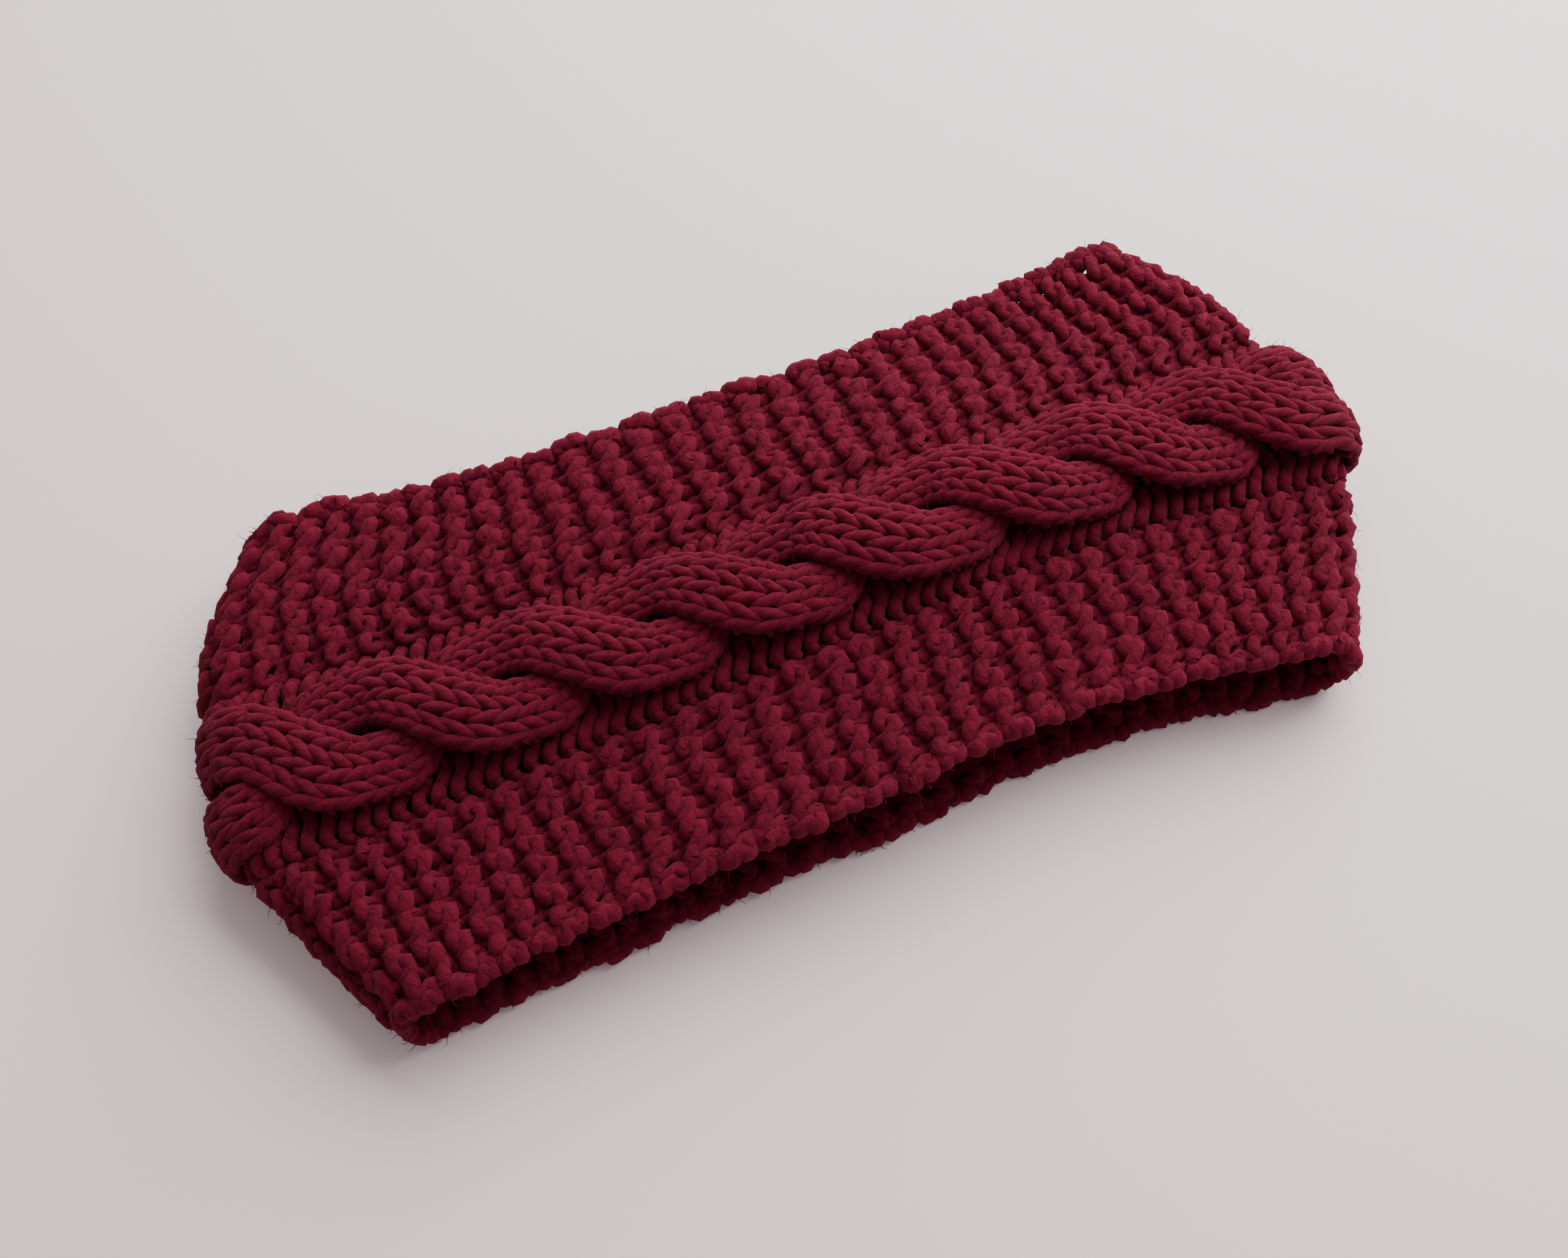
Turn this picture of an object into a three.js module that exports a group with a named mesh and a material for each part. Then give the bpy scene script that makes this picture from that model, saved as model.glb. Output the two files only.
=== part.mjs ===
// Knitted ear warmer headband, folded flat and lying on its back half.
// Millimetres. X runs along the folded band, Y across it, Z up from the surface it lies on.
// The wall is described by three numbers: round (share of the way around the loop, 0 at the middle of
// the front), across (share of the half width, -1 lower edge to 1 upper edge) and out (distance outward
// from the middle of the wall).
import * as THREE from "three";
import { ParametricGeometry } from "three/addons/geometries/ParametricGeometry.js";
import { mergeVertices } from "three/addons/utils/BufferGeometryUtils.js";

// Driving sizes
const halfLength = 114; // middle of the wall at the fold, on the cable line
const halfWidth = 49.5;
const foldRadius = 7.5; // middle of the wall around a fold, at the edges
const archRise = 3.2; // how far the middle of the front stands above the folds
const domeRise = 4; // how much further its cable line stands
const domePlace = 0.35; // share of the way towards the +X fold at which the dome is highest, under 0.5
const drapeStart = 0.3; // share of the half width where the back half begins to sink beside its cable
const drapeEnd = 0.6; // and where it lies on the surface
const pressedDepth = 0.25; // how far the weight flattens the lowest ridges and lobes
const seamGap = 0.3; // space kept between neighbouring panels

// Garter borders
const garterHalfThickness = 2.5;
const ridgeDepth = 0.8;
const edgeScallop = 0.9;
const borderStart = 16.5; // distance of the border from the cable line

// Cable of two strands and the purl ground behind and beside it
const crossingSpacing = 27.5;
const ridgesPerCrossing = 4; // count, set by the stitch pattern
const crossingStart = 0.05; // share of a crossing by which the strands lead at the middle of the front
const strandHalfWidth = 6.6;
const strandSpread = 2; // how much wider each half of a strand is where it crosses in front
const strandHalfThickness = 1.4;
const strandLag = 0.2; // radians by which a strand crosses slower in front and quicker behind
const strandDwell = 0.45; // how long a strand keeps to its side before it crosses, 0 for an even swing
const liftShare = 1.45; // room between the strands where they cross, over what they fill
const groundThickness = 1.8;
const groundBack = -2.5; // inner face of the ground

// Share of the half length that the fold reaches, across the band
const foldReach = [
  { across: -1, share: 0.829 },
  { across: -0.62, share: 0.926 },
  { across: -0.28, share: 0.996 },
  { across: 0, share: 1 },
  { across: 0.28, share: 0.995 },
  { across: 0.62, share: 0.953 },
  { across: 1, share: 0.825 },
];

// Where the two edges run, in shares of the half width, along the folded band
const edgeLines = [
  { along: -1, upper: 1.1, lower: -1.15 },
  { along: -0.5, upper: 0.975, lower: -1.055 },
  { along: 0, upper: 0.96, lower: -0.995 },
  { along: 0.5, upper: 1, lower: -0.93 },
  { along: 1, upper: 1.15, lower: -1.07 },
];

const frontStretch = 0.04; // rows stand this share wider apart at mid front and closer at mid back
const crowding = 0.2; // edge ridges stand wider apart at mid front and closer at the folds
const columnsPerRidge = 3; // two on the crest and one in the furrow
const borderSides = 8;
const edgeStart = 0.93; // share of the half width where the rounded edge begins
const ropeStepsPerCrossing = 6;
const ropeSides = 8;

const strandOffset = (strandHalfWidth + seamGap / 2) / Math.cos(strandLag);
const strandLift = liftShare * (strandHalfThickness + seamGap / 2);
const cableHalfWidth = strandOffset + strandHalfWidth;
const groundFront = groundBack + groundThickness;
const ropeMiddle = groundFront + 1.5 * seamGap + strandLift + strandHalfThickness;
const ropeFront = ropeMiddle + strandLift + strandHalfThickness;
const cableProud = ropeFront - garterHalfThickness;

// The strands swap sides an odd number of times around the band, so they close into each other
const cableLap = lapLength(loopSection(0));
const crossings = 2 * Math.round((cableLap / crossingSpacing - 1) / 2) + 1;
const ridges = crossings * ridgesPerCrossing;

const yarn = { color: 0x641e30, roughness: 0.92, metalness: 0 };

function tableValue(rows, keyName, valueName, key) {
  // Smooth curve through the rows, with the slope at a row taken from the rows beside it
  const last = rows.length - 1;
  let i = 0;
  while (i < last - 1 && key > rows[i + 1][keyName]) i += 1;
  const slopeAt = (k) => {
    const a = rows[Math.max(k - 1, 0)];
    const b = rows[Math.min(k + 1, last)];
    return (b[valueName] - a[valueName]) / (b[keyName] - a[keyName]);
  };
  const span = rows[i + 1][keyName] - rows[i][keyName];
  const t = THREE.MathUtils.clamp((key - rows[i][keyName]) / span, 0, 1);
  const rise = rows[i + 1][valueName] - rows[i][valueName];
  const bend = (1 - t) * (slopeAt(i) * span - rise) - t * (slopeAt(i + 1) * span - rise);
  return rows[i][valueName] + rise * t + t * (1 - t) * bend;
}

function loopSection(across) {
  // Cross-section of the folded loop at one distance across the band. The back half is lifted where
  // the cable lies under it.
  const nearCable = 1 - THREE.MathUtils.smoothstep(Math.abs(across), drapeStart, drapeEnd);
  const dome = domeRise * (1 - across * across) ** 2;
  const back = garterHalfThickness - pressedDepth + cableProud * nearCable;
  const foldTop = garterHalfThickness - pressedDepth + 2 * foldRadius;
  const radius = (foldTop - back) / 2;
  const reach = halfLength * tableValue(foldReach, "across", "share", across);
  return { radius, foldTop, back, dome, straight: reach - radius, reach };
}

function lapLength(section) {
  return 4 * section.straight + 2 * Math.PI * section.radius;
}

function sectionPoint(section, distance) {
  // Point and outward direction in the XZ plane, distance measured from the middle of the front
  const { radius, foldTop, back, dome, straight } = section;
  const fold = Math.PI * radius;
  const half = 2 * straight + fold;
  const mirrored = distance > half;
  const d = mirrored ? 2 * half - distance : distance;
  const side = mirrored ? -1 : 1;
  if (d < straight) {
    const along = (side * d) / straight;
    const arch = Math.PI * along;
    const bulge = Math.PI * (along - domePlace * (1 - along * along));
    const steepness = archRise * Math.sin(arch) + dome * Math.sin(bulge) * (1 + 2 * domePlace * along);
    const slope = (Math.PI * steepness) / (2 * straight);
    const length = Math.hypot(1, slope);
    const z = foldTop + (archRise * (1 + Math.cos(arch)) + dome * (1 + Math.cos(bulge))) / 2;
    return { x: side * d, z, outX: slope / length, outZ: 1 / length };
  }
  if (d < straight + fold) {
    const angle = (d - straight) / radius;
    const outX = side * Math.sin(angle);
    const outZ = Math.cos(angle);
    return { x: side * straight + radius * outX, z: foldTop - radius + radius * outZ, outX, outZ };
  }
  return { x: side * (2 * straight + fold - d), z: back, outX: 0, outZ: -1 };
}

function wallPoint(round, across, out, target) {
  const section = loopSection(across);
  const share = round - Math.floor(round);
  const stretched = (frontStretch * Math.sin(2 * Math.PI * share)) / (2 * Math.PI);
  const crowded = (crowding * across * across * Math.sin(4 * Math.PI * share)) / (4 * Math.PI);
  const place = sectionPoint(section, lapLength(section) * (share + stretched + crowded));
  const along = place.x / section.reach;
  const upper = halfWidth * tableValue(edgeLines, "along", "upper", along);
  const lower = halfWidth * tableValue(edgeLines, "along", "lower", along);
  const y = THREE.MathUtils.lerp(lower, upper, (across + 1) / 2);
  const z = Math.max(place.z + out * place.outZ, 0);
  return target.set(place.x + out * place.outX, y, z);
}

function closedMesh(name, surface, roundSteps, sectionSteps) {
  // The surface closes on itself both ways, so its meeting rows are merged into one body
  const geometry = new ParametricGeometry(surface, roundSteps, sectionSteps);
  geometry.deleteAttribute("uv");
  geometry.deleteAttribute("normal");
  const closed = mergeVertices(geometry, 1e-4);
  closed.computeVertexNormals();
  const mesh = new THREE.Mesh(closed, new THREE.MeshStandardMaterial(yarn));
  mesh.name = name;
  return mesh;
}

function closedSection(corners, column, columns, step, steps, target) {
  const corner = corners[Math.round(step * steps) % steps];
  return wallPoint((Math.round(column * columns) % columns) / columns, corner.across, corner.out, target);
}

function garterBorder(name, side) {
  const columns = ridges * columnsPerRidge;
  const start = (borderStart + seamGap) / halfWidth;
  const surface = (u, v, target) => {
    const column = Math.round(u * columns) % columns;
    const crest = column % columnsPerRidge < 2;
    const front = garterHalfThickness - (crest ? 0 : ridgeDepth);
    const back = garterHalfThickness - (crest ? ridgeDepth : 0);
    const edge = 1 - (crest ? 0 : edgeScallop / halfWidth);
    const corners = [
      { across: side * start, out: front },
      { across: side * drapeEnd, out: front },
      { across: side * edgeStart, out: front },
      { across: side * edge, out: front - ridgeDepth },
      { across: side * edge, out: -back + ridgeDepth },
      { across: side * edgeStart, out: -back },
      { across: side * drapeEnd, out: -back },
      { across: side * start, out: -back },
    ];
    if (side < 0) corners.reverse();
    closedSection(corners, u, columns, v, borderSides, target);
  };
  return closedMesh(name, surface, columns, borderSides);
}

function purlGround() {
  const columns = ridges * 2;
  const wide = borderStart / halfWidth;
  const narrow = cableHalfWidth / halfWidth;
  const stations = [-wide, -narrow, narrow, wide];
  const corners = [
    ...stations.map((across) => ({ across, out: groundFront })),
    ...stations.toReversed().map((across) => ({ across, out: groundBack })),
  ];
  const surface = (u, v, target) => closedSection(corners, u, columns, v, corners.length, target);
  return closedMesh("purl_ground", surface, columns, corners.length);
}

function cableRope() {
  // One strand twists as a flat helix and spreads where it is in front. It closes after two laps, and
  // its second lap is the other strand of the cable.
  const steps = 2 * crossings * ropeStepsPerCrossing;
  const surface = (u, v, target) => {
    const laps = (2 * (Math.round(u * steps) % steps)) / steps;
    const even = Math.PI * (crossings * laps + crossingStart);
    const twist = even + strandLag * Math.cos(even);
    const turn = (2 * Math.PI * (Math.round(v * ropeSides) % ropeSides)) / ropeSides;
    const inFront = THREE.MathUtils.smoothstep(Math.sin(twist), Math.sin(strandLag), 1);
    const swing = Math.cos(twist) * (1 + strandDwell * Math.sin(twist) ** 2);
    const across = strandOffset * swing - (strandHalfWidth + strandSpread * inFront) * Math.cos(turn);
    const out = ropeMiddle + strandLift * Math.sin(twist) + strandHalfThickness * Math.sin(turn);
    wallPoint(laps, across / halfWidth, out, target);
  };
  return closedMesh("cable_rope", surface, steps, ropeSides);
}

const headband = new THREE.Group();
headband.add(garterBorder("garter_border_upper", 1));
headband.add(garterBorder("garter_border_lower", -1));
headband.add(purlGround());
headband.add(cableRope());

export default headband;
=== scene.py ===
# Knitted ear warmer headband, lying folded on a pale surface. Every stitch is a loop of yarn laid on the
# band's wall. Lengths in the dictionaries are millimetres unless a name says otherwise.
import math
import bpy
import numpy as np
from mathutils import Matrix, Vector


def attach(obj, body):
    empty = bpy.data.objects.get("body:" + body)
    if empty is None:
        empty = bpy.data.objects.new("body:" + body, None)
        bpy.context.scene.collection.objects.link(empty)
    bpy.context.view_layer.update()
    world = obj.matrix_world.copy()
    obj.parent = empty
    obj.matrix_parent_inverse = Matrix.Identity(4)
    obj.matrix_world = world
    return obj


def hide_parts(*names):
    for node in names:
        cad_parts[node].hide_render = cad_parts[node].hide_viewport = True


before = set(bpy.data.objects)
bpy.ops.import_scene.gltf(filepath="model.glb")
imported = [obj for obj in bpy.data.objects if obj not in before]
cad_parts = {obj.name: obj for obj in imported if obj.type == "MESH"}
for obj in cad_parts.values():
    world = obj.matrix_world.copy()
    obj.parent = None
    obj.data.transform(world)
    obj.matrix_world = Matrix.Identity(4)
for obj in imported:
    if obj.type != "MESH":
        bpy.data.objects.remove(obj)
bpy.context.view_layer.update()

mm = 0.001

# The wall of the folded band

wall = {
    "halfLength": 114.0,  # middle of the wall at the fold, on the cable line
    "halfWidth": 49.5,
    "foldRadius": 7.5,
    "archRise": 3.2,
    "domeRise": 4.0,  # how much further the cable line stands at mid front
    "domePlace": 0.35,  # share of the way towards the +X fold at which the dome is highest
    "pressedDepth": 0.25,
    "garterHalfThickness": 2.5,
    "cableProud": 4.55,  # how far the cable stands above the garter ridges
    "drapeStart": 0.3,  # shares of the half width between which the back half sinks beside its cable
    "drapeEnd": 0.6,
    "frontStretch": 0.04,  # rows stand this share wider apart at mid front and closer at mid back
    "crowding": 0.2,  # edge ridges stand wider apart at mid front and closer at the folds
    "borderStart": 16.5,
    "wander": 0.22,  # how far the hand-knitted fabric strays from its even course, in rows and millimetres
    "softness": 0.35,  # how far it stands in and out
    "surfaceGap": 0.02,  # nothing comes closer to the surface than this
    "restShare": 0.7,  # share of its radius at which a yarn's middle stops over the surface
    "crossings": 17,
    "rowsPerCrossing": 8,
}
rowCount = wall["crossings"] * wall["rowsPerCrossing"]
rowHeight = 3.44  # along the cable line

# across, share of the half length that the fold reaches
foldReach = np.array([
    [-1.0, 0.829], [-0.62, 0.926], [-0.28, 0.996], [0.0, 1.0], [0.28, 0.995], [0.62, 0.953], [1.0, 0.825],
])
# along, upper edge and lower edge in shares of the half width
edgeLines = np.array([
    [-1.0, 1.1, -1.15], [-0.5, 0.975, -1.055], [0.0, 0.96, -0.995], [0.5, 1.0, -0.93], [1.0, 1.15, -1.07],
])


def smoothStep(low, high, value):
    # 3t² - 2t³, with t the share of the way from low to high
    t = np.clip((value - low) / (high - low), 0.0, 1.0)
    return t * t * (3.0 - 2.0 * t)


def tableCurve(table, column, key):
    # Cubic Hermite curve through the table's rows, the slope at a row taken from the rows beside it
    keys, values = table[:, 0], table[:, column]
    last = len(keys) - 1
    i = np.clip(np.searchsorted(keys, key, side="right") - 1, 0, last - 1)
    below, above = np.maximum(np.arange(last + 1) - 1, 0), np.minimum(np.arange(last + 1) + 1, last)
    slopes = (values[above] - values[below]) / (keys[above] - keys[below])
    span = keys[i + 1] - keys[i]
    t = np.clip((key - keys[i]) / span, 0.0, 1.0)
    rise = values[i + 1] - values[i]
    bend = (1.0 - t) * (slopes[i] * span - rise) - t * (slopes[i + 1] * span - rise)
    return values[i] + rise * t + t * (1.0 - t) * bend


def wallFrame(rounds, across):
    # The wall's middle and its outward direction. The section is an arch with a dome on it, a half circle
    # at each fold and a straight back: x and z follow the length around it, y runs between the edge lines.
    near = 1.0 - smoothStep(wall["drapeStart"], wall["drapeEnd"], np.abs(across))
    rest = wall["garterHalfThickness"] - wall["pressedDepth"]
    back = rest + wall["cableProud"] * near
    foldTop = rest + 2.0 * wall["foldRadius"]
    radius = (foldTop - back) / 2.0
    reach = wall["halfLength"] * tableCurve(foldReach, 1, across)
    straight = reach - radius
    half = 2.0 * straight + math.pi * radius
    share = rounds - np.floor(rounds)
    crowded = wall["crowding"] * across**2 * np.sin(4.0 * math.pi * share) / (4.0 * math.pi)
    stretched = wall["frontStretch"] * np.sin(2.0 * math.pi * share) / (2.0 * math.pi)
    place = 2.0 * half * (share + stretched + crowded)
    mirrored = place > half
    d = np.where(mirrored, 2.0 * half - place, place)
    side = np.where(mirrored, -1.0, 1.0)
    run = side * np.minimum(d, straight) / straight
    arch = math.pi * run
    bulge = math.pi * (run - wall["domePlace"] * (1.0 - run**2))
    dome = wall["domeRise"] * (1.0 - across**2)**2
    steepness = (wall["archRise"] * np.sin(arch)
                 + dome * np.sin(bulge) * (1.0 + 2.0 * wall["domePlace"] * run))
    slope = math.pi * steepness / (2.0 * straight)
    length = np.hypot(1.0, slope)
    front = foldTop + (wall["archRise"] * (1.0 + np.cos(arch)) + dome * (1.0 + np.cos(bulge))) / 2.0
    angle = np.clip((d - straight) / radius, 0.0, math.pi)
    onFront, onFold = d < straight, (d >= straight) & (d < straight + math.pi * radius)
    x = np.select([onFront, onFold], [d, straight + radius * np.sin(angle)],
                  2.0 * straight + math.pi * radius - d) * side
    z = np.select([onFront, onFold], [front, foldTop - radius + radius * np.cos(angle)], back)
    outX = np.select([onFront, onFold], [slope / length, side * np.sin(angle)], 0.0)
    outZ = np.select([onFront, onFold], [1.0 / length, np.cos(angle)], -1.0)
    along = x / reach
    upper = wall["halfWidth"] * tableCurve(edgeLines, 1, along)
    lower = wall["halfWidth"] * tableCurve(edgeLines, 2, along)
    y = lower + (upper - lower) * (across + 1.0) / 2.0
    return np.stack([x, y, z], axis=-1), np.stack([outX, np.zeros_like(outX), outZ], axis=-1)


def unevenness(seed, rows, across, scale):
    # Sum of six slow waves over the fabric with seeded directions, about one in size
    random = np.random.default_rng(seed)
    total = np.zeros(np.broadcast(rows, across).shape)
    for _ in range(6):
        rowWave, acrossWave = random.uniform(-1.0, 1.0, 2) * scale
        total += np.sin(rows * rowWave + across * acrossWave + random.uniform(0.0, 2.0 * math.pi))
    return total / 2.4


def onWall(rows, acrossMm, out, yarnRadius):
    # Fabric point to space: the wall's middle plus its outward direction times out. Rows count against
    # the way around, across is in millimetres, and the whole fabric wanders a little in all three.
    wandered = rows + wall["wander"] * unevenness(31, rows, acrossMm, 0.3)
    shifted = acrossMm + wall["wander"] * unevenness(33, rows, acrossMm, 0.35)
    middle, outward = wallFrame(-wandered / rowCount, shifted / wall["halfWidth"])
    soft = wall["softness"] * unevenness(11, rows, acrossMm, 0.12)
    points = middle + outward * (out + soft)[..., None]
    points[..., 2] = np.maximum(points[..., 2], wall["restShare"] * yarnRadius)
    return points, outward


# Tubes of yarn and the fibres on them

fuzz = {
    "length": (1.4, 3.2),  # shortest and longest
    "rootRadius": 0.085,
    "middleShare": 0.8,  # thickness of a fibre halfway along, over its root
    "rootPlace": 0.93,  # share of the yarn's radius at which a fibre starts
    "lean": 0.75,  # how far fibres lean from straight out
    "bend": 0.63,  # and how far they turn halfway along
    "roughSkin": 0.045,  # share by which the yarn's surface stands in and out
}


def yarnFrame(centres, outward):
    # Along is the path's own direction, side = outward × along, and lift = along × side
    along = np.gradient(centres, axis=1)
    along /= np.linalg.norm(along, axis=-1, keepdims=True)
    side = np.cross(outward, along)
    side /= np.linalg.norm(side, axis=-1, keepdims=True)
    return along, side, np.cross(along, side)


def tubeMesh(name, centres, outward, radii, sides, height, paintedShadeMaskAt):
    # A ring of points around each path point: centre + radius (cos a side + sin a lift), with side and
    # lift square to the path and the radius a little rough. Rings join into quads and each end closes
    # with one face. Each point also gets a painted shade mask from 0 to 1 by its height: the lower it
    # lies among the yarn around it, the darker the material paints its colour, as shade between stitches.
    tubes, steps = centres.shape[:2]
    side, lift = yarnFrame(centres, outward)[1:]
    angle = 2.0 * math.pi * np.arange(sides) / sides
    ring = np.cos(angle)[:, None] * side[:, :, None, :] + np.sin(angle)[:, None] * lift[:, :, None, :]
    skin = 1.0 + fuzz["roughSkin"] * np.random.default_rng(61).normal(0.0, 1.0, (tubes, steps, sides, 1))
    vertices = centres[:, :, None, :] + radii[..., None, None] * ring * skin
    vertices[..., 2] = np.maximum(vertices[..., 2], wall["surfaceGap"])
    index = np.arange(tubes * steps * sides).reshape(tubes, steps, sides)
    around = np.roll(index, -1, axis=2)
    quads = np.stack([index[:, :-1], around[:, :-1], around[:, 1:], index[:, 1:]], axis=-1).reshape(-1, 4)
    caps = np.concatenate([index[:, 0, ::-1], index[:, -1]])
    run = np.linalg.norm(np.diff(centres, axis=1), axis=-1)
    run = np.concatenate([np.zeros((tubes, 1)), np.cumsum(run, axis=1)], axis=1)
    lengthAt = np.broadcast_to(run[:, :, None], index.shape)
    turnAt = np.broadcast_to(np.arange(sides) / sides, index.shape)
    u = np.stack([lengthAt[:, :-1], lengthAt[:, :-1], lengthAt[:, 1:], lengthAt[:, 1:]], axis=-1)
    v = np.stack([turnAt[:, :-1], turnAt[:, :-1] + 1 / sides,
                  turnAt[:, 1:] + 1 / sides, turnAt[:, 1:]], axis=-1)
    uv = np.concatenate([np.stack([u.ravel(), v.ravel()], axis=-1), np.zeros((caps.size, 2))])
    level = height[..., None] + radii[..., None] * np.sum(ring * outward[:, :, None, :], axis=-1)
    return makeObject(name, vertices.reshape(-1, 3), [quads, caps], uv, paintedShadeMaskAt(level).ravel())


def makeObject(name, vertices, groups, uv, paintedShadeMask):
    # Vertices in millimetres become one mesh in metres. Each group holds faces with the same number of
    # corners, and only the first group's are shaded smooth.
    mesh = bpy.data.meshes.new(name)
    corners = np.concatenate([g.ravel() for g in groups]).astype(np.int32)
    sizes = np.concatenate([np.full(len(g), g.shape[1]) for g in groups])
    mesh.vertices.add(len(vertices))
    mesh.vertices.foreach_set("co", (vertices * mm).astype(np.float32).ravel())
    mesh.loops.add(len(corners))
    mesh.loops.foreach_set("vertex_index", corners)
    mesh.polygons.add(len(sizes))
    mesh.polygons.foreach_set("loop_start", (np.cumsum(sizes) - sizes).astype(np.int32))
    smooth = np.concatenate([np.full(len(g), i == 0) for i, g in enumerate(groups)])
    mesh.polygons.foreach_set("use_smooth", smooth)
    layer = mesh.uv_layers.new(name="yarn")
    layer.uv.foreach_set("vector", uv.astype(np.float32).ravel())
    # The last values are the painted shade mask: 1 leaves the yarn's colour, lower values paint it darker
    # as shade
    attribute = mesh.attributes.new("painted_shade_mask", "FLOAT", "POINT")
    attribute.data.foreach_set("value", paintedShadeMask.astype(np.float32))
    mesh.update(calc_edges=True)
    mesh.validate()
    piece = bpy.data.objects.new(name, mesh)
    bpy.context.collection.objects.link(piece)
    return piece


def fuzzMesh(name, seed, count, centres, outward, radii):
    # Fibres that stand off the yarn: each is a bent three-sided spike, root to middle to tip. The root
    # is centre + radius × normal at a random point on a tube. Its first half goes along normal + lean,
    # its second along that plus bend, both random.
    random = np.random.default_rng(seed)
    tubes, steps = centres.shape[:2]
    which, at = random.integers(0, tubes, count), random.integers(1, steps - 1, count)
    along, across, lift = (part[which, at] for part in yarnFrame(centres, outward))
    angle = random.uniform(0.0, 2.0 * math.pi, count)
    normal = np.cos(angle)[:, None] * across + np.sin(angle)[:, None] * lift
    root = centres[which, at] + normal * (radii[which, at] * fuzz["rootPlace"])[:, None]
    first = normal + random.normal(0.0, fuzz["lean"], (count, 3))
    first /= np.linalg.norm(first, axis=-1, keepdims=True)
    second = first + random.normal(0.0, fuzz["bend"], (count, 3))
    second /= np.linalg.norm(second, axis=-1, keepdims=True)
    half = 0.5 * random.uniform(*fuzz["length"], count)[:, None]
    middle = root + first * half
    tip = middle + second * half
    wide = np.cross(first, along + 0.01)
    wide /= np.linalg.norm(wide, axis=-1, keepdims=True)
    deep = np.cross(first, wide)
    corner = 2.0 * math.pi * np.arange(3) / 3.0
    ring = np.cos(corner)[:, None] * wide[:, None, :] + np.sin(corner)[:, None] * deep[:, None, :]
    ring = ring * fuzz["rootRadius"]
    vertices = np.concatenate([root[:, None] + ring, middle[:, None] + ring * fuzz["middleShare"],
                               tip[:, None]], axis=1)
    vertices[..., 2] = np.maximum(vertices[..., 2], wall["surfaceGap"])
    index = np.arange(count * 7).reshape(count, 7)
    quads = index[:, [[0, 1, 4, 3], [1, 2, 5, 4], [2, 0, 3, 5]]].reshape(-1, 4)
    tips = index[:, [[3, 4, 6], [4, 5, 6], [5, 3, 6], [2, 1, 0]]].reshape(-1, 3)
    uv = np.repeat(random.uniform(0.0, 50.0, (quads.size + tips.size, 1)), 2, axis=1)
    # Fibres stand free, so their painted shade mask is 1 throughout
    return makeObject(name, vertices.reshape(-1, 3), [quads, tips], uv, np.ones(count * 7))


def loopDepth(theta, end, leg):
    # Height of the heads and sinkers times cos² θ, plus height of the legs times sin² θ
    return end * np.cos(theta)**2 + leg * np.sin(theta)**2


def finishPiece(piece, material, node):
    # Material, body, slot and the solid that the piece stands for
    piece.data.materials.append(material)
    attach(piece, "root")
    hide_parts(node)


# Materials

yarnLook = {
    "light": (0.168, 0.0052, 0.024, 1.0),
    "dark": (0.064, 0.002, 0.0085, 1.0),
    "paintedShadeKeep": 0.95,  # share of its colour the yarn is left with where it lies deepest between the stitches: painted shade
    "roughness": 0.92,
    "specular": 0.1,
    "sheen": 0.15,
    "sheenTint": (0.62, 0.12, 0.22, 1.0),
    "sheenSpread": 0.45,
    "softness": 0.25,  # share of the light that spreads among the fibres
    "softDepth": 0.0012,  # metres
    "softReach": (1.0, 0.3, 0.4),  # how far red, green and blue spread, over the depth
    "ply": 3.0,  # strands twisted together
    "plyTurn": 7.0,  # length of one turn of the twist
    "streakScale": 2.4,
    "streakStretch": 0.45,  # streaks run along the yarn when this is small
    "streakWidth": 2.2,
    "slowScale": 90.0,  # per metre, as the next
    "grainScale": 1500.0,
    "shadeParts": (0.35, 0.2, 0.45, 0.12),  # how much streaks, slow change, grain and plies each shade; the plies' share is painted shade in the grooves between plies
    "shadeRange": (0.4, 0.78),  # sums of them at which the yarn is dark and light
    "bumpParts": (0.6, 0.8, 0.3),  # how much streaks, grain and plies each stand out
    "bumpDepth": 0.0006,  # metres
}


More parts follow.
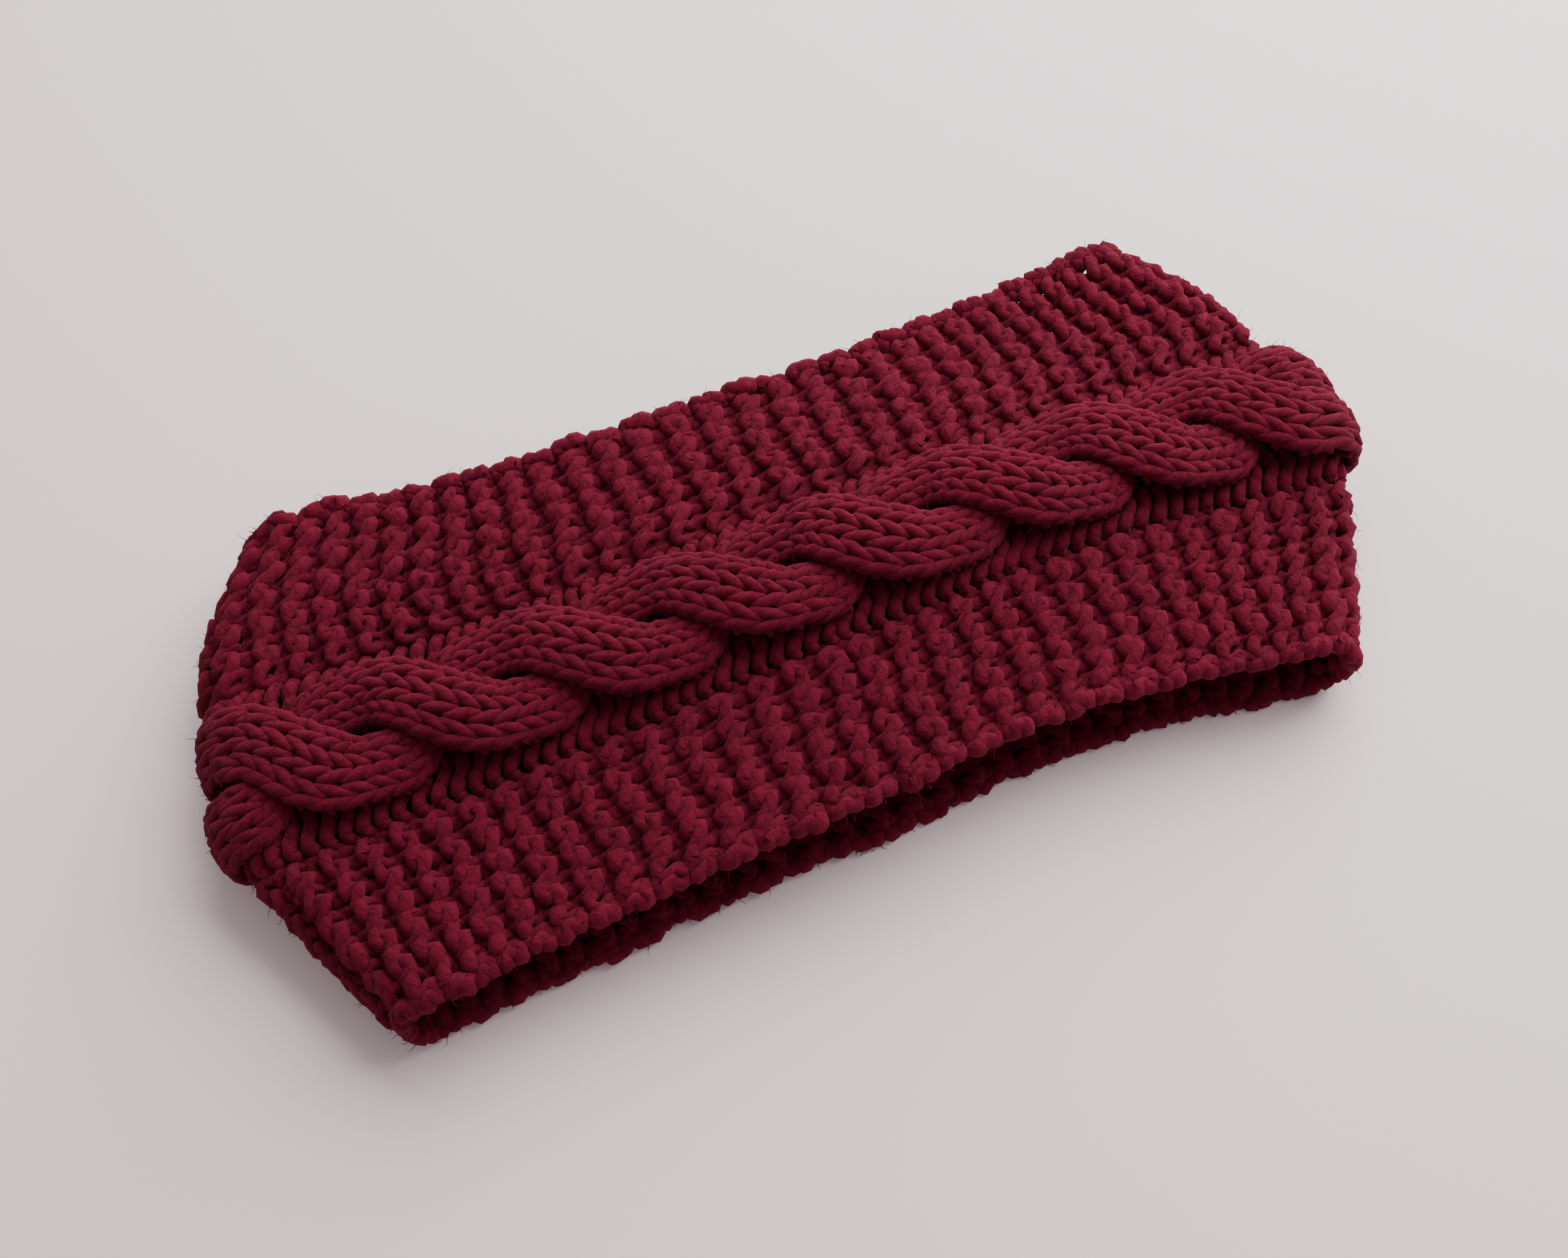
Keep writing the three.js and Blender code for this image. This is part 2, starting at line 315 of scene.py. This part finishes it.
def yarnMaterial():
    # Shade and bump are weighted sums of four patterns: streaks and grooves, which follow the twist
    # length / turn + share around the yarn, and slow changes and grain, which follow the object. The
    # shade picks a colour between dark and light, the grooves' part being painted shade between the plies.
    # Painted shade then multiplies it by a factor from the deepest share up to 1 as the yarn stands free.
    look = yarnLook
    material = bpy.data.materials.new("burgundy_yarn")
    material.use_nodes = True
    nodes, links = material.node_tree.nodes, material.node_tree.links
    shader = nodes["Principled BSDF"]
    shader.inputs["Roughness"].default_value = look["roughness"]
    shader.inputs["Sheen Weight"].default_value = look["sheen"]
    shader.inputs["Sheen Roughness"].default_value = look["sheenSpread"]
    shader.inputs["Sheen Tint"].default_value = look["sheenTint"]
    shader.inputs["Specular IOR Level"].default_value = look["specular"]
    shader.inputs["Subsurface Weight"].default_value = look["softness"]
    shader.inputs["Subsurface Radius"].default_value = look["softReach"]
    shader.inputs["Subsurface Scale"].default_value = look["softDepth"]

    def mathNode(operation, *values):
        # One sum, product or function of numbers and sockets
        node = nodes.new("ShaderNodeMath")
        node.operation = operation
        for socket, value in zip(node.inputs, values):
            if isinstance(value, (int, float)):
                socket.default_value = value
            else:
                links.new(value, socket)
        return node.outputs[0]

    def noise(vector, scale, detail, roughness):
        # Noise from 0 to 1 along a vector socket
        node = nodes.new("ShaderNodeTexNoise")
        node.inputs["Scale"].default_value = scale
        node.inputs["Detail"].default_value = detail
        node.inputs["Roughness"].default_value = roughness
        links.new(vector, node.inputs["Vector"])
        return node.outputs["Fac"]

    def weightedSum(sockets, weights):
        # First socket times first weight plus second times second, and so on
        total = mathNode("MULTIPLY", sockets[0], weights[0])
        for socket, weight in zip(sockets[1:], weights[1:]):
            total = mathNode("ADD", total, mathNode("MULTIPLY", socket, weight))
        return total

    uv = nodes.new("ShaderNodeUVMap")
    uv.uv_map = "yarn"
    split = nodes.new("ShaderNodeSeparateXYZ")
    links.new(uv.outputs["UV"], split.inputs[0])
    twist = mathNode("ADD", mathNode("DIVIDE", split.outputs["X"], look["plyTurn"]), split.outputs["Y"])
    turn = mathNode("MULTIPLY", twist, 2.0 * math.pi)
    # Low in the grooves between plies: it feeds the bump and also paints shade into the grooves
    plies = mathNode("ABSOLUTE", mathNode("SINE", mathNode("MULTIPLY", turn, look["ply"] / 2.0)))
    groove = mathNode("POWER", plies, 0.5)
    place = nodes.new("ShaderNodeCombineXYZ")
    links.new(mathNode("MULTIPLY", mathNode("COSINE", turn), look["streakWidth"]), place.inputs["X"])
    links.new(mathNode("MULTIPLY", mathNode("SINE", turn), look["streakWidth"]), place.inputs["Y"])
    links.new(mathNode("MULTIPLY", split.outputs["X"], look["streakStretch"]), place.inputs["Z"])
    streaks = noise(place.outputs[0], look["streakScale"], 5.0, 0.65)
    objectPlace = nodes.new("ShaderNodeTexCoord").outputs["Object"]
    slow = noise(objectPlace, look["slowScale"], 4.0, 0.5)
    grain = noise(objectPlace, look["grainScale"], 3.0, 0.7)
    ramp = nodes.new("ShaderNodeValToRGB")
    for element, position, colour in zip(ramp.color_ramp.elements, look["shadeRange"], ("dark", "light")):
        element.position = position
        element.color = look[colour]
    links.new(weightedSum((streaks, slow, grain, groove), look["shadeParts"]), ramp.inputs["Fac"])
    # Painted shade: the colour is darkened by the mask where the yarn lies deep between the stitches
    paintedShadeMaskNode = nodes.new("ShaderNodeAttribute")
    paintedShadeMaskNode.attribute_name = "painted_shade_mask"
    paintedShadeEase = mathNode("MULTIPLY", paintedShadeMaskNode.outputs["Fac"], 1.0 - look["paintedShadeKeep"])
    paintedShadeFactor = mathNode("ADD", paintedShadeEase, look["paintedShadeKeep"])
    paintedShadeMix = nodes.new("ShaderNodeMix")
    paintedShadeMix.data_type = "RGBA"
    paintedShadeMix.inputs["A"].default_value = (0.0, 0.0, 0.0, 1.0)
    links.new(paintedShadeFactor, paintedShadeMix.inputs["Factor"])
    links.new(ramp.outputs["Color"], paintedShadeMix.inputs["B"])
    links.new(paintedShadeMix.outputs["Result"], shader.inputs["Base Color"])
    bump = nodes.new("ShaderNodeBump")
    bump.inputs["Strength"].default_value = 1.0
    bump.inputs["Distance"].default_value = look["bumpDepth"]
    links.new(weightedSum((streaks, grain, groove), look["bumpParts"]), bump.inputs["Height"])
    links.new(bump.outputs["Normal"], shader.inputs["Normal"])
    return material


yarn = yarnMaterial()
print("materials ready")

# Garter borders

garter = {
    "stitches": 6,
    "pointsPerStitch": 13,
    "sides": 7,
    "yarnRadius": 1.36,
    "legThinning": 0.14,
    "loopHeight": 0.84,  # rows that a loop reaches above and below its own row
    "bulge": 0.19,  # how much wider the head of a loop is than its neck, in stitches
    "tilt": 0.24,  # rows that the two ends of a bump lean apart
    "lean": 0.45,  # millimetres between heads and sinkers along the ridge
    "ridgeHeight": 1.25,
    "innerDip": 1.4,  # how far the yarn sinks where it goes on into the channel
    "edgeTurn": 1.1,  # how far the yarn swings out at each row's end where it turns back
    "knobShare": 0.65,  # share of that which makes a knob at each row, the rest being one wide turn
    "edgeSpan": 0.2,  # rows that the turn reaches past its two rows
    "edgeRest": 0.3,  # how high the yarn lies at the edge
    "edgeRise": 0.6,  # and how much higher halfway round its turn
    "edgePlump": 0.12,
    "edgeFill": 0.16,  # how much fuller the yarn lies where the rows stand apart towards the edge
    "edgeStray": 0.45,  # how unevenly the turns stand out
    "turnPoints": 11,
    "rowStray": 0.13,  # how unevenly the loops lie, in rows
    "acrossStray": 0.33,  # in millimetres across
    "outStray": 0.28,  # and out
    "radiusStray": 0.14,  # as a share of the yarn's radius
    "fibres": 6500,
    "fuzzSeed": 42,
}


def garterBorder(name, sign, node):
    # Across = start + pitch (t + bulge sin 2θ), row + height cos θ - tilt sin 2θ, out = ridge cos θ for
    # knit rows and its opposite for purl rows. Each pair of rows is one yarn that turns at the edge with
    # a knob at the end of each row, edge + turn ((1 - knob share) sin φ + knob share sin² 2φ).
    g = garter
    edge = wall["halfWidth"] - g["edgeTurn"] - g["yarnRadius"]
    pitch = (edge - wall["borderStart"]) / g["stitches"]
    t = np.arange(g["stitches"] * g["pointsPerStitch"] + 1) / g["pointsPerStitch"]
    theta = 2.0 * math.pi * (t - np.floor(t)) - math.pi
    outer = smoothStep(g["stitches"] - 0.4, g["stitches"], t)
    inner = 1.0 - smoothStep(0.0, 0.5, t)
    acrossRun = wall["borderStart"] + pitch * (t + g["bulge"] * np.sin(2.0 * theta) * (1.0 - outer))
    wave = np.cos(theta) * (1.0 - outer)
    rise = g["loopHeight"] * wave - sign * g["tilt"] * np.sin(2.0 * theta) * (1.0 - outer)
    rest = g["edgeRest"] * outer - g["innerDip"] * inner
    turn = np.linspace(0.0, math.pi, g["turnPoints"] + 2)[1:-1]
    reach = g["edgeSpan"] * outer
    knob = g["knobShare"] * np.sin(2.0 * turn)**2
    knobs = g["edgeTurn"] * ((1.0 - g["knobShare"]) * np.sin(turn) + knob)
    acrossPath = np.concatenate([acrossRun, edge + knobs, acrossRun[::-1]])
    rowPath = np.concatenate([rise - reach, 0.5 - (0.5 + g["edgeSpan"]) * np.cos(turn),
                              1.0 + (rise + reach)[::-1]])
    ridge = g["ridgeHeight"] * wave * (1.0 - inner)
    turnRise = rest[-1] + g["edgeRise"] * np.sin(turn)
    outPath = np.concatenate([rest + ridge, turnRise, (rest - ridge)[::-1]])
    leanPath = np.concatenate([wave, 0.0 * turn, wave[::-1]])
    legs = g["legThinning"] * np.sin(theta)**2 * (1.0 - outer) - g["edgePlump"] * outer
    thin = np.concatenate([legs, 0.0 * turn - g["edgePlump"], legs[::-1]])
    pairs = np.arange(0, rowCount, 2)[:, None]
    rows = pairs + rowPath
    across = sign * np.broadcast_to(acrossPath, rows.shape) - g["lean"] * leanPath
    knobStray = sign * g["edgeStray"] * smoothStep(edge - 1.5, edge, np.abs(across))
    rows = rows + g["rowStray"] * unevenness(3, rows, across, 1.6)
    out = outPath + g["outStray"] * unevenness(5, rows, across, 1.9)
    across = (across + g["acrossStray"] * unevenness(7, rows, across, 1.5)
              + knobStray * unevenness(13, rows, 0.0, 2.5))
    radii = g["yarnRadius"] * (1.0 - thin) * (1.0 + g["radiusStray"] * unevenness(9, rows, across, 2.6))
    radii = radii * (1.0 + g["edgeFill"] * smoothStep(0.5, 0.9, np.abs(across) / edge))
    centres, outward = onWall(rows, across, out, g["yarnRadius"])
    # The mask paints shade on yarn that lies near the fabric's middle, down between the ridges
    tubes = tubeMesh(name + "_yarn", centres, outward, radii, g["sides"], out,
                     lambda level: smoothStep(-0.6, 1.9, np.abs(level)))
    hairs = fuzzMesh(name + "_fuzz", g["fuzzSeed"] - int(sign), g["fibres"], centres, outward, radii)
    finishPiece(tubes, yarn, node)
    finishPiece(hairs, yarn, node)


garterBorder("upper_border", 1.0, "garter_border_upper")
garterBorder("lower_border", -1.0, "garter_border_lower")
print("garter borders knitted")

# Purl channels and the back of the cable

ground = {
    "channelStitches": 2,
    "backStitches": 4,
    "channelPitch": 4.9,
    "pointsPerStitch": 11,
    "sides": 6,
    "yarnRadius": 1.2,
    "channelRadius": 1.5,
    "loopHeight": 0.46,
    "tilt": 0.1,
    "bulge": 0.13,
    "lean": 0.15,  # rows that the channel's rows are pulled along for each millimetre towards the cable
    "channelHeight": 0.5,
    "channelLeg": -0.35,
    "borderDip": 1.6,  # how far the yarn sinks where it goes on into the border
    "backHeight": -0.9,
    "backLeg": -1.4,
    "channelCalm": 0.8,  # how much of the loops' wave is drawn straight in the channels
    "rowStray": 0.07,
    "outStray": 0.1,
    "radiusStray": 0.06,
    "fibres": 1800,
    "fuzzSeed": 45,
}


def purlGround():
    # Purl loops show their heads and sinkers outside and their legs inside. Across = place (t + bulge
    # sin 2θ), row + height cos θ - tilt sin 2θ, out swings between leg height and loop height as cos² θ.
    g = ground
    channelEdge = wall["borderStart"] - g["channelStitches"] * g["channelPitch"]
    backPitch = 2.0 * channelEdge / g["backStitches"]
    count = 2 * g["channelStitches"] + g["backStitches"]
    t = np.arange(count * g["pointsPerStitch"] + 1) / g["pointsPerStitch"]
    theta = 2.0 * math.pi * (t - np.floor(t)) - math.pi
    marks = np.arange(count + 1)
    places = np.concatenate([
        -wall["borderStart"] + g["channelPitch"] * np.arange(g["channelStitches"]),
        -channelEdge + backPitch * np.arange(g["backStitches"]),
        channelEdge + g["channelPitch"] * np.arange(g["channelStitches"] + 1),
    ])
    across = np.interp(t + g["bulge"] * np.sin(2.0 * theta), marks, places)
    inChannel = smoothStep(channelEdge, channelEdge + 3.5, np.abs(across))
    high = g["backHeight"] + (g["channelHeight"] - g["backHeight"]) * inChannel
    low = g["backLeg"] + (g["channelLeg"] - g["backLeg"]) * inChannel
    nearBorder = smoothStep(wall["borderStart"] - 1.5, wall["borderStart"] + 0.5, np.abs(across))
    out = loopDepth(theta, high, low) - g["borderDip"] * nearBorder
    wave = g["loopHeight"] * np.cos(theta) - g["tilt"] * np.sin(2.0 * theta)
    rows = np.arange(rowCount)[:, None] + wave * (1.0 - g["channelCalm"] * inChannel)
    pulled = np.minimum(wall["borderStart"] - np.abs(across), wall["borderStart"] - channelEdge)
    rows = rows - g["lean"] * np.sign(-across) * pulled * smoothStep(1.0, channelEdge, np.abs(across))
    across = np.broadcast_to(across, rows.shape)
    rows = rows + g["rowStray"] * unevenness(3, rows, across, 1.3)
    out = out + g["outStray"] * unevenness(15, rows, across, 1.7)
    radii = g["yarnRadius"] + (g["channelRadius"] - g["yarnRadius"]) * inChannel * (1.0 - nearBorder)
    radii = radii * (1.0 + g["radiusStray"] * unevenness(17, rows, across, 2.0))
    centres, outward = onWall(rows, across, out, g["yarnRadius"])
    # The mask paints shade on yarn that lies low in the purl ground
    tubes = tubeMesh("purl_ground_yarn", centres, outward, radii, g["sides"], out,
                     lambda level: smoothStep(-0.8, 1.5, level))
    hairs = fuzzMesh("purl_ground_fuzz", g["fuzzSeed"], g["fibres"], centres, outward, radii)
    finishPiece(tubes, yarn, "purl_ground")
    finishPiece(hairs, yarn, "purl_ground")


purlGround()
print("purl ground knitted")

# Cable strands

cable = {
    "stitches": 3,
    "pointsPerStitch": 14,
    "sides": 9,
    "yarnRadius": 1.25,
    "endThinning": 0.2,  # the yarn is drawn thinner at the two ends of each leg
    "start": 0.05,  # share of a crossing by which the strands lead at the middle of the front
    "sideHalfWidth": 5.8,
    "crownHalfWidth": 7.1,  # a strand spreads where it crosses in front
    "crown": 3.2,  # height of the strand's top over its middle
    "roll": 1.0,  # how far a strand's outer edge sinks where it lies beside the other
    "offset": 7.3,
    "lift": 2.5,
    "heightLag": 0.45,  # radians by which the strand's height follows its swing
    "backLift": 0.6,  # share of the lift by which a strand sinks where it crosses behind
    "frontRise": 1.0,  # how much further a strand stands up where it crosses in front
    "middle": 3.4,
    "lag": 0.2,  # radians by which a strand crosses slower in front and quicker behind
    "dwell": 0.48,  # how long a strand keeps to its side before it crosses
    "foldPress": 0.4,  # share by which the cable is flattened around the -X fold
    "foldPlace": 0.25,  # share of the way around at which that fold lies
    "foldSpan": 0.06,
    "loopHeight": 0.95,
    "bulge": 0.25,
    "legHeight": 0.65,
    "spread": 1.2,  # angle from a strand's crown to its outermost stitch edge, in radians
    "tucks": (2.6, 1.7, 0.8),  # how deep the yarn tucks in under each side of a strand, outermost first
    "tuckNarrow": 0.16,  # share by which a strand is narrower for each millimetre of that
    "bed": 0.6,  # depth of the stitches' middle under the strand's top
    "rowStray": 0.05,
    "outStray": 0.1,
    "radiusStray": 0.06,
    "fibres": 4800,
    "fuzzSeed": 47,
}


def cableStrand(name, start):
    # Half a turn w a crossing, with the strand's place ψ = w + lag cos w: its middle swings as
    # offset cos ψ (1 + dwell sin² ψ) and rises as lift sin(ψ - height lag). Three knit stitches lie over
    # its crown, square to its path.
    c = cable
    t = np.arange(c["stitches"] * c["pointsPerStitch"] + 1) / c["pointsPerStitch"]
    theta = 2.0 * math.pi * (t - np.floor(t)) - math.pi
    angle = c["spread"] * (2.0 * (t + c["bulge"] * np.sin(2.0 * theta)) / c["stitches"] - 1.0)
    rise = c["loopHeight"] * np.cos(theta)
    depth = loopDepth(theta, -c["legHeight"], c["legHeight"])
    tucks = np.array(c["tucks"])
    angle = np.pad(angle, len(tucks), mode="edge")
    rise = np.pad(rise, len(tucks), mode="edge")
    legs = np.pad(np.sin(theta)**2, len(tucks))
    tucked = np.concatenate([tucks, np.zeros(len(t)), tucks[::-1]])
    depth = np.pad(depth, len(tucks), mode="edge") - tucked
    narrow = 1.0 - c["tuckNarrow"] * tucked
    rows = np.arange(rowCount)[:, None] + rise
    rows = rows + c["rowStray"] * unevenness(21, rows, angle * 5.0, 1.2)
    turnPerRow = math.pi * wall["crossings"] / rowCount
    turn = (start + c["start"]) * math.pi - turnPerRow * rows
    place = turn + c["lag"] * np.cos(turn)
    front = smoothStep(math.sin(c["lag"]), 1.0, np.sin(place))
    halfWidth = c["sideHalfWidth"] + (c["crownHalfWidth"] - c["sideHalfWidth"]) * front
    swing = np.cos(place) * (1.0 + c["dwell"] * np.sin(place)**2)
    perPlace = -np.sin(place) * (1.0 + c["dwell"] * (1.0 - 3.0 * np.cos(place)**2))
    perRow = -turnPerRow * (1.0 - c["lag"] * np.sin(turn)) * c["offset"] * perPlace
    slope = perRow / rowHeight * smoothStep(-0.5, 0.5, np.sin(place))
    reach = narrow * halfWidth * np.sin(angle) / np.sqrt(1.0 + slope**2)
    across = c["offset"] * swing + reach
    rows = rows - slope * reach / rowHeight
    level = (c["crown"] - c["bed"]) * np.cos(angle) + depth - c["bed"]
    rolled = c["frontRise"] * front - c["roll"] * np.sin(angle) * np.cos(place)
    raised = np.sin(place - c["heightLag"])
    raised = np.where(raised > 0.0, raised, c["backLift"] * raised)
    out = c["middle"] + c["lift"] * raised + level + rolled
    fromFold = (rows / rowCount - c["foldPlace"]) / c["foldSpan"]
    out = out * (1.0 - c["foldPress"] * np.exp(-fromFold**2))
    out = out + c["outStray"] * unevenness(23, rows, across, 1.9)
    fullness = (halfWidth / c["crownHalfWidth"])**0.6
    radii = c["yarnRadius"] * fullness * (1.0 - c["endThinning"] * (1.0 - legs))
    radii = radii * (1.0 + c["radiusStray"] * unevenness(25, rows, across, 2.0))
    centres, outward = onWall(rows, across, out, c["yarnRadius"])
    # The mask paints shade on yarn that lies low under the strand's crown
    tubes = tubeMesh(name + "_yarn", centres, outward, radii, c["sides"], level + 0.0 * rows,
                     lambda height: smoothStep(-1.2, 2.0, height))
    hairs = fuzzMesh(name + "_fuzz", c["fuzzSeed"] + 2 * int(start), c["fibres"], centres, outward, radii)
    finishPiece(tubes, yarn, "cable_rope")
    finishPiece(hairs, yarn, "cable_rope")


cableStrand("cable_strand_a", 0.0)
cableStrand("cable_strand_b", 1.0)
print("cable strands knitted")

# Floor, light and camera

stageLook = {
    "floorColour": (0.88, 0.71, 0.735, 1.0),
    "floorRoughness": 0.7,
    "floorSize": 3.0,  # metres, as the light's place and size
    "skyStrength": 0.5,
    "skyColour": (1.0, 0.98, 0.98, 1.0),
    "keyPlace": (0.4, 0.3, 0.4),
    "keySize": 0.9,
    "keyPower": 14.5,
}


def buildStage():
    # A square floor, an even sky and one square light that faces the middle of the floor
    s = stageLook
    bpy.ops.mesh.primitive_plane_add(size=s["floorSize"])
    floor = bpy.context.object
    floor.name = "floor"
    paper = bpy.data.materials.new("pale_surface")
    paper.use_nodes = True
    shader = paper.node_tree.nodes["Principled BSDF"]
    shader.inputs["Base Color"].default_value = s["floorColour"]
    shader.inputs["Roughness"].default_value = s["floorRoughness"]
    floor.data.materials.append(paper)
    world = bpy.data.worlds.new("soft_sky")
    world.use_nodes = True
    sky = world.node_tree.nodes["Background"]
    sky.inputs["Color"].default_value = s["skyColour"]
    sky.inputs["Strength"].default_value = s["skyStrength"]
    bpy.context.scene.world = world
    light = bpy.data.lights.new("key", "AREA")
    light.energy = s["keyPower"]
    light.size = s["keySize"]
    key = bpy.data.objects.new("key", light)
    key.location = s["keyPlace"]
    key.rotation_euler = (-Vector(s["keyPlace"])).to_track_quat("-Z", "Y").to_euler()
    bpy.context.collection.objects.link(key)


view = {
    "azimuth": -20.6,  # degrees, as elevation and roll
    "elevation": 61.0,
    "distance": 401.3,
    "target": (-3.5, -3.3, 9.0),
    "focalPixels": 2790.0,
    "imageWidth": 2156,
    "roll": -0.9,
}


def placeCamera():
    # Stands off the target by the distance, along the azimuth and elevation
    v = view
    a, e = math.radians(v["azimuth"]), math.radians(v["elevation"])
    back = Vector((math.sin(a) * math.cos(e), -math.cos(a) * math.cos(e), math.sin(e)))
    lens = bpy.data.cameras.new("photo_view")
    lens.sensor_width = 36.0
    lens.lens = v["focalPixels"] * 36.0 / v["imageWidth"]
    lens.clip_start = 0.01
    camera = bpy.data.objects.new("photo_view", lens)
    camera.location = (Vector(v["target"]) + back * v["distance"]) * mm
    camera.rotation_euler = (back.to_track_quat("Z", "Y").to_matrix()
                             @ Matrix.Rotation(math.radians(v["roll"]), 3, "Z")).to_euler()
    bpy.context.collection.objects.link(camera)
    bpy.context.scene.camera = camera


buildStage()
placeCamera()
print("stage, light and camera placed")

bpy.context.view_layer.update()
